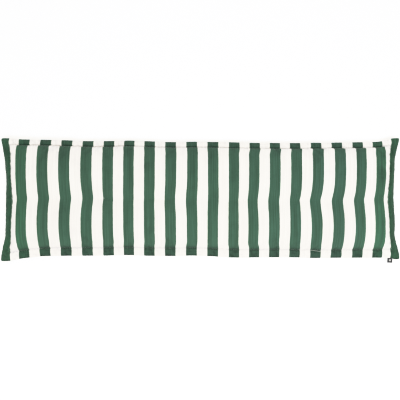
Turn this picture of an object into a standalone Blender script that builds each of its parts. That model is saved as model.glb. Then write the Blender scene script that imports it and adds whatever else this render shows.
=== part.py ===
"""Outdoor bench cushion: a long, filled cushion with a flat sewn border, and a small folded tab in one edge.

The cover is two panels sewn together all round, turned, filled, and sewn through again inside the edge,
which leaves the border. The filling pulls the sides in between the corners. A row of tufts holds a soft
valley along the middle. Metres, +Z up, +X along the length. The cushion lies on its back on z = 0, with
the origin in the middle of its base.
"""

import math
from typing import NamedTuple

import bmesh
import bpy
from mathutils import Vector

# The cover as it lies when empty, measured from corner to corner
LENGTH = 1.508
WIDTH = 0.463
HALF_LENGTH = LENGTH / 2
HALF_WIDTH = WIDTH / 2
CORNER_RADIUS = 0.012

# The flat border between the outer edge and the seam that closes off the filling
BORDER_END = 0.026
BORDER_FAR = 0.024
BORDER_NEAR = 0.028
EDGE_THICKNESS = 0.0032
SEAM_THICKNESS = 0.0022
BORDER_LEVEL = 0.0265
BORDER_DROOP = 0.0025
BORDER_WAVE = 0.0014
BORDER_WAVE_LENGTH = 0.157

# How far the filling draws each end in at the middle of the width, and how square that hollow is
END_DRAW = 0.0205
END_DRAW_POWER = 4
END_DRAW_SPREAD = 3

# The filled body
TOP_RISE = 0.0270
BASE_DROP = 0.0300

# The valley along the middle, and the tufts in it
VALLEY_SHARE = 0.46
BASE_VALLEY_SHARE = 0.34
VALLEY_REACH = 0.044
VALLEY_POWER = 1.4
TUFT_PLACES = (-0.360, -0.150, 0.162, 0.375)
TUFT_DEPTH = 0.0055
BASE_TUFT_DEPTH = 0.0020
TUFT_REACH_ALONG = 0.036
TUFT_REACH_ACROSS = 0.017

# Spacing of the points over the body
COLUMN_STEP = 0.0265
WALL_STEPS_END = (0.0, 0.005, 0.014, 0.030)
WALL_STEPS_SIDE = (0.0, 0.005, 0.013, 0.027, 0.050, 0.084)
VALLEY_STEPS = (0.014, 0.032, 0.056, 0.084)

# The tab
TAB_WIDTH = 0.019
TAB_LENGTH = 0.0161
TAB_THICKNESS = 0.0012
TAB_INSET = 0.0270
TAB_SEAT_GAP = 0.0003
TAB_FOLD_SHARE = 0.45

CLOTH_COLOUR = (0.06, 0.13, 0.085)
CLOTH_ROUGHNESS = 0.85
TAB_COLOUR = (0.02, 0.02, 0.022)
TAB_ROUGHNESS = 0.8


class EdgeStation(NamedTuple):
    """Where the two long outer edges lie at a place along the cushion."""

    along: float
    far: float
    near: float


class Wall(NamedTuple):
    """How the body rises from a seam: over what reach, and how full, 0.5 being a quarter of an ellipse."""

    reach: float
    fullness: float


LONG_EDGES = (
    EdgeStation(along=-0.754, far=0.2361, near=-0.2290),
    EdgeStation(along=-0.664, far=0.2283, near=-0.2173),
    EdgeStation(along=-0.560, far=0.2262, near=-0.2075),
    EdgeStation(along=-0.225, far=0.2230, near=-0.2060),
    EdgeStation(along=0.120, far=0.2190, near=-0.2085),
    EdgeStation(along=0.300, far=0.2190, near=-0.2136),
    EdgeStation(along=0.620, far=0.2211, near=-0.2136),
    EdgeStation(along=0.700, far=0.2260, near=-0.2165),
    EdgeStation(along=0.754, far=0.2361, near=-0.2211),
)

TOP_END = Wall(reach=0.034, fullness=0.50)
TOP_FAR = Wall(reach=0.055, fullness=0.30)
TOP_NEAR = Wall(reach=0.077, fullness=0.55)
BASE_END = Wall(reach=0.045, fullness=0.50)
BASE_SIDE = Wall(reach=0.060, fullness=0.50)


def clear_scene():
    for item in list(bpy.data.objects):
        bpy.data.objects.remove(item, do_unlink=True)


def cloth_material(name, colour, roughness):
    material = bpy.data.materials.new(name)
    material.use_nodes = True
    shader = material.node_tree.nodes["Principled BSDF"]
    shader.inputs["Base Color"].default_value = (*colour, 1.0)
    shader.inputs["Roughness"].default_value = roughness
    shader.inputs["Metallic"].default_value = 0.0
    return material


def edge_slope(index, side):
    """The slope of a long edge at one of its stations, which makes the edge a smooth curve through them."""
    before = LONG_EDGES[max(index - 1, 0)]
    after = LONG_EDGES[min(index + 1, len(LONG_EDGES) - 1)]
    return (getattr(after, side) - getattr(before, side)) / (after.along - before.along)


def long_edge(along, side):
    """How far across the long edge named by side lies, at a place along the cushion."""
    place = min(max(along, LONG_EDGES[0].along), LONG_EDGES[-1].along)
    index = 0
    while LONG_EDGES[index + 1].along < place:
        index += 1
    start = LONG_EDGES[index]
    stop = LONG_EDGES[index + 1]
    span = stop.along - start.along
    share = (place - start.along) / span
    rest = 1 - share
    return (
        getattr(start, side) * (1 + 2 * share) * rest**2
        + getattr(stop, side) * (1 + 2 * rest) * share**2
        + edge_slope(index, side) * span * share * rest**2
        - edge_slope(index + 1, side) * span * rest * share**2
    )


def round_corner(along, across):
    """Moves a point of the flat cover that lies in a square corner to where it lies in a round one."""
    past_along = (abs(along) - (HALF_LENGTH - CORNER_RADIUS)) / CORNER_RADIUS
    past_across = (abs(across) - (HALF_WIDTH - CORNER_RADIUS)) / CORNER_RADIUS
    if past_along <= 0 or past_across <= 0:
        return along, across
    round_along = past_along * math.sqrt(1 - past_across**2 / 2)
    round_across = past_across * math.sqrt(1 - past_along**2 / 2)
    return (
        math.copysign(HALF_LENGTH - CORNER_RADIUS * (1 - round_along), along),
        math.copysign(HALF_WIDTH - CORNER_RADIUS * (1 - round_across), across),
    )


def plan_of(along, across):
    """Where a point of the flat cover lies in plan once the cushion is filled."""
    along, across = round_corner(along, across)
    hollow = 1 - abs(across / HALF_WIDTH) ** END_DRAW_POWER
    drawn = END_DRAW * hollow * abs(along / HALF_LENGTH) ** END_DRAW_SPREAD
    near = long_edge(along, "near")
    far = long_edge(along, "far")
    share = (across + HALF_WIDTH) / WIDTH
    return along - math.copysign(drawn, along), near + (far - near) * share


def wall_share(inset, wall):
    """The share of its full height that the body has at an inset from a seam."""
    share = min(max(inset / wall.reach, 0.0), 1.0)
    return (1 - (1 - share) ** 2) ** wall.fullness


def body_insets(along, across):
    """How far a point of the flat cover lies inside the seam, from the end, far side and near side."""
    return (
        HALF_LENGTH - abs(along) - BORDER_END,
        HALF_WIDTH - across - BORDER_FAR,
        HALF_WIDTH + across - BORDER_NEAR,
    )


def body_share(along, across, end_wall, far_wall, near_wall, valley_share):
    """The share of its full height that the body has at a point, with its walls and valley."""
    end, far, near = body_insets(along, across)
    walls = wall_share(end, end_wall) * wall_share(far, far_wall) * wall_share(near, near_wall)
    valley = valley_share * math.exp(-((abs(across) / VALLEY_REACH) ** VALLEY_POWER))
    return walls * (1 - valley)


def tuft_share(along, across):
    """How far a point is pulled in by the tufts, from 0 away from them to 1 on one."""
    pull = 0.0
    for place in TUFT_PLACES:
        away = ((along - place) / TUFT_REACH_ALONG) ** 2 + (across / TUFT_REACH_ACROSS) ** 2
        pull += math.exp(-away)
    return pull


def border_share(along, across):
    """0 at the seam and inside it, 1 at the outer edge."""
    end, far, near = body_insets(along, across)
    outside = max(-end / BORDER_END, -far / BORDER_FAR, -near / BORDER_NEAR)
    return min(max(outside, 0.0), 1.0)


def border_middle(along, across):
    """The level of the middle of the cloth where the two panels lie on each other."""
    out = border_share(along, across)
    turn = 2 * math.pi * (along + across) / BORDER_WAVE_LENGTH
    return BORDER_LEVEL - BORDER_DROOP * out**2 + BORDER_WAVE * out * math.sin(turn)


def half_thickness(along, across):
    """Half the thickness of the border, which is thickest at its turned edge."""
    return (SEAM_THICKNESS + (EDGE_THICKNESS - SEAM_THICKNESS) * border_share(along, across)) / 2


def top_level(along, across):
    seam = border_middle(along, across) + half_thickness(along, across)
    rise = TOP_RISE * body_share(along, across, TOP_END, TOP_FAR, TOP_NEAR, VALLEY_SHARE)
    inside = 1.0 if rise > 0 else 0.0
    return seam + rise - inside * TUFT_DEPTH * tuft_share(along, across)


def base_level(along, across):
    """The underside, which its own weight flattens on what the cushion lies on."""
    seam = border_middle(along, across) - half_thickness(along, across)
    drop = BASE_DROP * body_share(along, across, BASE_END, BASE_SIDE, BASE_SIDE, BASE_VALLEY_SHARE)
    inside = 1.0 if drop > 0 else 0.0
    return max(0.0, seam - drop + inside * BASE_TUFT_DEPTH * tuft_share(along, across))


def column_places():
    """The lines of points across the cushion: close at the ends, even between, and one on each tuft."""
    insets = [0.0, BORDER_END / 2] + [BORDER_END + inside for inside in WALL_STEPS_END]
    left = [inset - HALF_LENGTH for inset in insets]
    right = [HALF_LENGTH - inset for inset in reversed(insets)]
    stops = [left[-1], *TUFT_PLACES, right[0]]
    middle = []
    for start, stop in zip(stops, stops[1:]):
        count = math.ceil((stop - start) / COLUMN_STEP)
        middle += [start + (stop - start) * number / count for number in range(1, count + 1)]
    return left + middle[:-1] + right


def row_places():
    """The lines of points along the cushion, from its near edge to its far edge."""
    near = [0.0, BORDER_NEAR / 2] + [BORDER_NEAR + inside for inside in WALL_STEPS_SIDE]
    far = [0.0, BORDER_FAR / 2] + [BORDER_FAR + inside for inside in WALL_STEPS_SIDE]
    return (
        [inset - HALF_WIDTH for inset in near]
        + [-step for step in reversed(VALLEY_STEPS)]
        + [0.0]
        + list(VALLEY_STEPS)
        + [HALF_WIDTH - inset for inset in reversed(far)]
    )


def place_sheet(points, columns, rows, level_of):
    """Moves the points of an even sheet, two units across, to their places on the filled cushion."""
    for point in points:
        along = columns[round((point.co.x + 1) / 2 * (len(columns) - 1))]
        across = rows[round((point.co.y + 1) / 2 * (len(rows) - 1))]
        point.co = Vector((*plan_of(along, across), level_of(along, across)))


def make_cushion(collection):
    columns = column_places()
    rows = row_places()
    shape = bmesh.new()
    bmesh.ops.create_grid(shape, x_segments=len(columns) - 1, y_segments=len(rows) - 1, size=1.0)
    top_points = shape.verts[:]
    sheet = shape.verts[:] + shape.edges[:] + shape.faces[:]
    copy = bmesh.ops.duplicate(shape, geom=sheet)["geom"]
    base_points = [item for item in copy if isinstance(item, bmesh.types.BMVert)]
    base_faces = [item for item in copy if isinstance(item, bmesh.types.BMFace)]
    bmesh.ops.reverse_faces(shape, faces=base_faces)
    place_sheet(top_points, columns, rows, top_level)
    place_sheet(base_points, columns, rows, base_level)
    rims = [edge for edge in shape.edges if edge.is_boundary]
    bmesh.ops.bridge_loops(shape, edges=rims)
    bmesh.ops.recalc_face_normals(shape, faces=shape.faces[:])
    mesh = bpy.data.meshes.new("cushion")
    shape.to_mesh(mesh)
    shape.free()
    mesh.shade_smooth()
    mesh.materials.append(cloth_material("striped_cloth", CLOTH_COLOUR, CLOTH_ROUGHNESS))
    cushion = bpy.data.objects.new("cushion", mesh)
    collection.objects.link(cushion)
    return cushion


def make_tab(collection):
    """The folded tab: its fold is the rounded end, and its root lies along the outer edge."""
    right = HALF_LENGTH - TAB_INSET
    left = right - TAB_WIDTH
    start = Vector(plan_of(left, -HALF_WIDTH))
    stop = Vector(plan_of(right, -HALF_WIDTH))
    along = (stop - start).normalized()
    outward = Vector((along.y, -along.x))
    centre = (start + stop) / 2 + outward * (TAB_SEAT_GAP + TAB_LENGTH / 2)
    level = border_middle((left + right) / 2, -HALF_WIDTH)

    shape = bmesh.new()
    bmesh.ops.create_cube(shape, size=1.0)
    bmesh.ops.scale(shape, vec=(TAB_WIDTH, TAB_LENGTH, TAB_THICKNESS), verts=shape.verts[:])
    fold = [edge for edge in shape.edges if all(point.co.y < 0 for point in edge.verts)]
    fold = [edge for edge in fold if abs(edge.verts[0].co.x - edge.verts[1].co.x) > TAB_WIDTH / 2]
    fold_radius = TAB_THICKNESS * TAB_FOLD_SHARE
    bmesh.ops.bevel(shape, geom=fold, offset=fold_radius, segments=3, profile=0.5, affect="EDGES")
    mesh = bpy.data.meshes.new("side_label")
    shape.to_mesh(mesh)
    shape.free()
    mesh.materials.append(cloth_material("woven_tab", TAB_COLOUR, TAB_ROUGHNESS))
    tab = bpy.data.objects.new("side_label", mesh)
    tab.location = (centre.x, centre.y, level)
    tab.rotation_euler = (0.0, 0.0, math.atan2(along.y, along.x))
    collection.objects.link(tab)
    return tab


def main():
    clear_scene()
    collection = bpy.data.collections.new("bench_cushion")
    bpy.context.scene.collection.children.link(collection)
    root = bpy.data.objects.new("bench_cushion_root", None)
    collection.objects.link(root)
    for piece in (make_cushion(collection), make_tab(collection)):
        piece.parent = root


main()
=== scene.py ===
"""Looks of a long outdoor bench cushion: its striped cover, the sewing, the side tab and the stage.

The cover is one closed skin. Its flat cut is a grid of points, each named by how far along and across it
lies. The grid is laid on the filled shape, filled out by a cloth simulation, smoothed once, and then gets
the puckers and folds that the thread makes. Metres, +Z up, +X along the cushion, which lies on z = 0.
"""

import math

import bmesh
import bpy
import numpy as np
from bpy.props import FloatProperty, FloatVectorProperty, IntProperty, PointerProperty
from mathutils import Matrix, Vector, noise
from mathutils.bvhtree import BVHTree


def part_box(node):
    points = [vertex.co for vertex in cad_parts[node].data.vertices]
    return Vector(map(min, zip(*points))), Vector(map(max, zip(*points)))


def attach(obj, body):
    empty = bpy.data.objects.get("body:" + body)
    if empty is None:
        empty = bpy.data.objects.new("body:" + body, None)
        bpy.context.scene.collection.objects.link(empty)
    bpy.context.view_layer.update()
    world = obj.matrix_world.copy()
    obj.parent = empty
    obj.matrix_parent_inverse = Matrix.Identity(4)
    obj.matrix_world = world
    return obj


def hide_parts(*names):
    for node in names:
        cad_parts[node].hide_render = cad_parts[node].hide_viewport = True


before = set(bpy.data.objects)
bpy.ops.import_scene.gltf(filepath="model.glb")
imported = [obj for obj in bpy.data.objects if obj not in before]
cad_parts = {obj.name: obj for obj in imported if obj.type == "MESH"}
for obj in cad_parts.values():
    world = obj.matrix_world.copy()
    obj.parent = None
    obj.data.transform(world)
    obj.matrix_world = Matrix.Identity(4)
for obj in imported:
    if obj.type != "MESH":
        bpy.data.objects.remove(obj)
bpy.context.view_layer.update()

bl_info = {
    "name": "Bench cushion",
    "version": (1, 0, 0),
    "blender": (4, 5, 0),
    "location": "3D View > Sidebar > Cushion",
    "description": "Builds a striped bench cushion with a sewn border, tufts, stitching and a side tab",
    "category": "Object",
}

CUSHION_LOW, CUSHION_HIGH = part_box("cushion")
TAB_LOW, TAB_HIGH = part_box("side_label")

# The flat cut of the cover. The round corners take a little off its length.
CORNER_TRIM = 0.004
CORNER_RADIUS = 0.007
HALF_LENGTH = (CUSHION_HIGH.x - CUSHION_LOW.x) / 2 + CORNER_TRIM
HALF_WIDTH = 0.2315
HALF_CUT = np.array((HALF_LENGTH, HALF_WIDTH))

# The border between the turned edge and the seam, with the folded allowance inside its edge
BORDER_END = 0.026
BORDER_FAR = 0.024
BORDER_NEAR = 0.033
BORDER_THICKNESS = 0.0056
EDGE_THICKNESS = 0.0034
SEAM_THICKNESS = 0.0018
SEAM_PINCH_REACH = 0.0062
EDGE_TAPER = 0.0080
EDGE_ROUND = 0.0011
BORDER_LEVEL = 0.0265
BORDER_DROOP = 0.0030
BORDER_WAVE = 0.0014
BORDER_WAVE_LENGTH = 0.157

# How far in from the ends the filling's pull on them reaches: a high power stays near the ends
END_DRAW_SPREAD = 3

# The filled body, up to the top of the cushion's box
BASE_DROP = 0.0300
BASE_VALLEY_SHARE = 0.34
VALLEY_REACH = 0.044
VALLEY_POWER = 1.4
TUFT_PLACES = (-0.360, -0.150, 0.162, 0.375)
BASE_TUFT_DEPTH = 0.0020
TUFT_REACH_ALONG = 0.036
TUFT_REACH_ACROSS = 0.017

# How the body rises from a seam: over what reach, and how full, 0.5 being a quarter of an ellipse
TOP_END = (0.036, 1.20)
TOP_FAR = (0.055, 0.30)
TOP_NEAR = (0.077, 0.80)
BASE_END = (0.045, 0.50)
BASE_SIDE = (0.060, 0.50)

# The grid of points: shares of the border's width, steps up the walls, and cells over the body
BORDER_SHARES = (0.17, 0.37, 0.55, 0.78, 0.90)
WALL_STEPS = (0.0, 0.0018, 0.0045, 0.0090, 0.0150, 0.0225, 0.0310)
CELL = 0.0096
SEAM_CREASE = 0.75
CUT_LABELS = ("cut_along", "cut_across", "cut_side")

# The simulation: the cloth, how firmly points are held and how near the sewing, and the largest move
CLOTH = {
    "quality": 5, "mass": 0.25, "bending_stiffness": 0.6, "air_damping": 3,
    "tension_stiffness": 30, "compression_stiffness": 30, "shear_stiffness": 12,
    "tension_damping": 12, "compression_damping": 12, "shear_damping": 12,
    "use_pressure": True, "pin_stiffness": 1.0,
}
HELD_ANYWHERE = 0.10
HELD_IN_VALLEY = 0.45
SEAM_HOLD_REACH = 0.003
VALLEY_HOLD_REACH = 0.010
TUFT_HOLD_REACH = (0.012, 0.008)
LARGEST_MOVE = 0.007

# The puckers along the seams: how far they reach, and how far they slant towards the ends
PUCKER_REACH = 0.020
PUCKER_SLANT = 0.9

# How high the finer shapes stand: on the border, over the filling, and round the tufts
SLOW_WAVE = 0.0009
CRUMPLE = 0.0020
RIPPLE = 0.0008
LUMP = 0.0014
SMALL_LUMP = 0.0005
TUFT_RAY = 0.0016
TUFT_CREASE = 0.0013
TUFT_DIMPLE = 0.0022

# Shades of the cloth near the seam. The two-layer border is darker, partly of itself and partly as painted
# shade. Painted shade also darkens a reach just inside the seam, more at the ends and on the near side, a
# band along the turned near edge, the seam's groove and the puckers
NEAR_AND_END_SHADE = 1.4
TURNED_EDGE_SHADE = 1.8
NEAR_WALL_SHADE_REACH = 0.018
FAR_WALL_SHADE_REACH = 0.004
NEAR_SEAM_SHADE = 1.6
FAR_SEAM_SHADE = 0.2
PINCH_SHADE_REACH = 0.0035
PUCKER_SHADE_REACH = 0.011
TURNED_SHADE_REACH = 0.0065

# The thread is round, with this many sides. The loose end of thread lies along here on the near border
THREAD_SIDES = 6
LOOSE_START = (0.412, -0.1878)
LOOSE_RUN = (0.048, -0.0052)
LOOSE_THICKER = 2.5

# The bars of thread on a tuft: half their length, how far apart they lie, and how much thicker they are
TUFT_BAR_HALF = 0.0032
TUFT_BAR_APART = 0.0011
TUFT_THICKER = 1.3

# The folded tape, the part of it that shows, and the part that is caught in the turned edge
TAB_WIDTH = 0.019
TAB_SHOWN = 0.0186
TAB_ROOT = 0.0016
TAB_SAG = 0.0016
TAB_TWIST = 0.0007

# The camera's sensor in mm, the width that the picture shows at the border's level, and the camera's place
SENSOR_WIDTH = 36.0
SHOWN_WIDTH = 1.5076
CAMERA_ACROSS = 0.0013

# How bright the picture shows a light level, up to the level that it shows as white
BRIGHTEST = 1.5
TONE_CURVE = ((0.15, 0.15), (0.45, 0.52), (0.70, 0.83), (0.85, 0.915), (1.10, 0.965), (1.30, 0.985))

# How much less red, green and blue it shows of pale cloth, which makes it look warmer
WARM_LEVELS = (0.84, 1.20)
WARMTH = (0.0, 0.009, 0.030)


def table(columns, rows):
    """A table's columns by name. The first holds the places that the others are given for."""
    return dict(zip(columns.split(), np.array(rows).T))


# Where the two long outer edges lie, from place to place along the cushion
LONG_EDGES = table("along far near", (
    (-0.754, 0.2361, -0.2310),
    (-0.722, 0.2352, -0.2298),
    (-0.670, 0.2306, -0.2200),
    (-0.592, 0.2300, -0.2118),
    (-0.510, 0.2274, -0.2099),
    (-0.430, 0.2247, -0.2100),
    (-0.350, 0.2243, -0.2090),
    (-0.270, 0.2266, -0.2078),
    (-0.190, 0.2236, -0.2100),
    (-0.110, 0.2210, -0.2112),
    (-0.030, 0.2220, -0.2092),
    (0.050, 0.2215, -0.2126),
    (0.130, 0.2194, -0.2168),
    (0.275, 0.2173, -0.2158),
    (0.355, 0.2173, -0.2166),
    (0.440, 0.2180, -0.2183),
    (0.520, 0.2190, -0.2178),
    (0.600, 0.2200, -0.2172),
    (0.680, 0.2228, -0.2174),
    (0.700, 0.2277, -0.2170),
    (0.715, 0.2322, -0.2170),
    (0.721, 0.2336, -0.2174),
    (0.732, 0.2350, -0.2228),
    (0.754, 0.2361, -0.2228),
))

# How far the filling draws an end in, and how far its border curls down, from place to place across
ENDS = table("across drawn curl_deg", (
    (-0.232, 0.0000, 3),
    (-0.209, 0.0020, 3),
    (-0.195, 0.0050, 3),
    (-0.187, 0.0068, 4),
    (-0.180, 0.0084, 5),
    (-0.168, 0.0108, 9),
    (-0.149, 0.0136, 19),
    (-0.130, 0.0146, 27),
    (-0.111, 0.0146, 24),
    (-0.074, 0.0156, 21),
    (-0.036, 0.0176, 18),
    (0.001, 0.0180, 20),
    (0.039, 0.0162, 36),
    (0.077, 0.0146, 39),
    (0.114, 0.0135, 31),
    (0.152, 0.0128, 27),
    (0.171, 0.0118, 10),
    (0.190, 0.0094, 3),
    (0.209, 0.0048, 3),
    (0.232, 0.0000, 5),
))

# How far the stripes stray along the cushion: on the two borders, on the body, more just inside its far seam,
# more on its near half, and more in the valley
STRIPE_DRIFT = table("along far_border near_border body seam near valley", (
    (-0.740, 0.0010, 0.0060, 0.0030, 0.0, 0.0, 0.0160),
    (-0.725, 0.0008, 0.0058, 0.0030, 0.0, 0.0, 0.0160),
    (-0.693, -0.0005, 0.0008, 0.0, 0.0, 0.0, -0.0020),
    (-0.655, 0.0001, -0.0010, 0.0002, -0.0005, 0.0, 0.0),
    (-0.500, 0.0043, 0.0018, 0.0038, -0.0008, 0.0005, 0.0019),
    (-0.420, 0.0054, 0.0034, 0.0072, -0.0008, 0.0, 0.0030),
    (-0.345, 0.0066, 0.0050, 0.0088, -0.0005, 0.0, -0.0030),
    (-0.230, 0.0030, 0.0017, 0.0062, 0.0014, -0.0006, -0.0022),
    (-0.110, 0.0030, 0.0015, 0.0062, 0.0024, -0.0010, -0.0043),
    (-0.030, 0.0042, 0.0033, 0.0083, 0.0046, -0.0014, -0.0039),
    (0.045, 0.0057, 0.0049, 0.0057, -0.0030, -0.0016, 0.0019),
    (0.125, 0.0080, 0.0072, 0.0043, -0.0017, -0.0014, 0.0007),
    (0.205, 0.0068, 0.0042, 0.0, -0.0005, -0.0028, -0.0030),
    (0.350, 0.0020, -0.0001, -0.0004, 0.0034, -0.0030, 0.0),
    (0.435, 0.0024, 0.0001, 0.0017, 0.0050, -0.0044, -0.0060),
    (0.520, 0.0029, 0.0001, 0.0048, 0.0072, -0.0048, -0.0040),
    (0.590, 0.0026, 0.0015, 0.0058, 0.0090, -0.0034, -0.0035),
    (0.655, 0.0006, -0.0002, 0.0008, 0.0070, -0.0028, -0.0025),
    (0.693, -0.0028, -0.0045, 0.0, 0.0030, -0.0022, -0.0020),
    (0.725, -0.0065, -0.0127, -0.0030, 0.0, 0.0, -0.0220),
    (0.740, -0.0075, -0.0130, -0.0030, 0.0, 0.0, -0.0220),
))
VALLEY_DRIFT_REACH = 0.048
SEAM_DRIFT_REACH = 0.014

# Where the thread has gathered the cloth more than elsewhere: along, across, how far round, how much higher
GATHERS = (
    (-0.610, 0.205, 0.075, 0.0022),
    (-0.430, 0.207, 0.090, 0.0014),
    (0.520, 0.207, 0.110, 0.0014),
    (0.690, -0.190, 0.055, 0.0013),
    (0.700, 0.195, 0.040, 0.0009),
    (-0.700, -0.195, 0.035, 0.0008),
)


# ---- Settings that a user would change ----


def plain_setting(name, description, default, unit="NONE", least=0.0):
    return FloatProperty(name=name, description=description, default=default, min=least, unit=unit)


def length_setting(name, description, default, least=0.0001):
    return plain_setting(name, description, default, "LENGTH", least)


def share_setting(name, description, default):
    return FloatProperty(
        name=name, description=description, default=default, min=0.0, max=0.9, subtype="FACTOR"
    )


def colour_setting(name, description, default):
    return FloatVectorProperty(
        name=name, description=description, default=default, min=0.0, max=1.0, subtype="COLOR"
    )


class CoverSettings(bpy.types.PropertyGroup):
    """Sizes and colours of the cover."""

    stripe_pitch: length_setting("Stripe pitch", "From one coloured stripe to the next", 0.07834)
    first_stripe: length_setting("First whole stripe", "Where a coloured stripe's middle lies", -0.6622, -1.0)
    colour_share: share_setting("Coloured share", "The coloured stripe's share of the pitch", 0.514)
    stripe_colour: colour_setting("Stripe", "Colour of the coloured stripes", (0.0525, 0.117, 0.078))
    stripe_shade: colour_setting("Stripe shade", "The darker yarns in the stripes", (0.037, 0.084, 0.0535))
    # Stripes towards the right: a bluer tone, and brighter as painted light
    lit_bluer_stripe_colour: colour_setting("Cooler stripe", "Stripes towards the right", (0.0545, 0.123, 0.089))
    end_stripe_colour: colour_setting("End stripe", "The stripes near the ends", (0.046, 0.154, 0.079))
    edge_colour: colour_setting("Stripe edge", "Where the two colours' yarns cross", (0.30, 0.40, 0.34))
    ground_colour: colour_setting("Ground", "The cloth between the stripes", (0.86, 0.822, 0.770))
    # Ground towards the right: a cooler tone, and brighter as painted light
    lit_whiter_ground_colour: colour_setting("Whiter ground", "The ground towards the right", (0.885, 0.862, 0.830))
    ground_shade: colour_setting("Ground shade", "The darker yarns in the ground", (0.72, 0.684, 0.637))
    # The colour of the painted shade on the ground in the seam's groove and in creases
    seam_shade_colour: colour_setting("Painted seam shade", "The ground in seams and creases", (0.58, 0.56, 0.55))
    thread_pitch: length_setting("Thread pitch", "From one thread of the weave to the next", 0.0013)
    valley_share: share_setting("Valley depth", "The share of the height that it takes away", 0.32)
    tuft_depth: length_setting("Tuft depth", "How much deeper the valley is at a tuft", 0.0055, 0.0)
    pucker_height: length_setting("Pucker height", "How high the puckers along the seams stand", 0.0028, 0.0)
    cloth_slack: share_setting("Cloth slack", "How much longer the cut cloth is than the shape", 0.020)
    filling_pressure: plain_setting("Filling pressure", "How hard the filling presses on the cloth", 1.2)
    simulated_frames: IntProperty(
        name="Simulated frames", description="How many frames the simulation runs for", default=20, min=1
    )


class SewingSettings(bpy.types.PropertyGroup):
    """Sizes and colours of the thread."""

    stitch_pitch: length_setting("Stitch pitch", "From one stitch of the seam to the next", 0.0040, 0.001)
    stitch_length: length_setting("Stitch length", "How much of each stitch shows", 0.0034, 0.001)
    thread_thickness: length_setting("Thread thickness", "Thickness of the sewing thread", 0.00032)
    thread_colour: colour_setting("Thread", "Colour of the sewing thread", (0.44, 0.46, 0.42))
    loose_thread_colour: colour_setting("Loose thread", "The thread on the near border", (0.66, 0.68, 0.62))
    tuft_thread_colour: colour_setting("Tuft thread", "Colour of the thread of the tufts", (0.30, 0.36, 0.31))


class TabSettings(bpy.types.PropertyGroup):
    """Sizes and colours of the side tab."""

    tape_thickness: length_setting("Tape thickness", "Thickness of one layer of the tape", 0.00050, 0.0002)
    square_size: length_setting("Square size", "Side of the plain square woven into the tape", 0.0064)
    tape_colour: colour_setting("Tape", "Colour of the tape", (0.022, 0.024, 0.026))
    square_colour: colour_setting("Square", "Colour of the woven square", (0.50, 0.50, 0.47))


class StageSettings(bpy.types.PropertyGroup):
    """The floor, the lights and the camera."""

    floor_colour: colour_setting("Floor", "Colour of the floor", (0.93, 0.93, 0.93))
    floor_glow: plain_setting("Floor glow", "How much the lit floor shines by itself", 0.40)
    sky_strength: plain_setting("Sky", "Strength of the even light from all round", 0.66)
    key_power: plain_setting("Main light", "Power of the soft light at the near right", 20.0, "POWER")
    fill_power: plain_setting("Second light", "Power of the soft light at the far left", 14.0, "POWER")
    camera_height: length_setting("Camera height", "Height of the camera above the border", 1.30)


class CushionSettings(bpy.types.PropertyGroup):
    """All settings of the cushion."""

    cover: PointerProperty(type=CoverSettings)
    sewing: PointerProperty(type=SewingSettings)
    tab: PointerProperty(type=TabSettings)
    stage: PointerProperty(type=StageSettings)


# ---- Materials ----


class Value:
    """A number that a material works out at each point. Arithmetic on it adds the nodes that do the sum."""

    def __init__(self, finish, socket):
        self.finish = finish
        self.socket = socket

    def __add__(self, other):
        return self.finish.sum("ADD", self, other)

    def __sub__(self, other):
        return self.finish.sum("SUBTRACT", self, other)

    def __rsub__(self, other):
        return self.finish.sum("SUBTRACT", other, self)

    def __mul__(self, other):
        return self.finish.sum("MULTIPLY", self, other)

    __radd__ = __add__
    __rmul__ = __mul__


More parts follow.
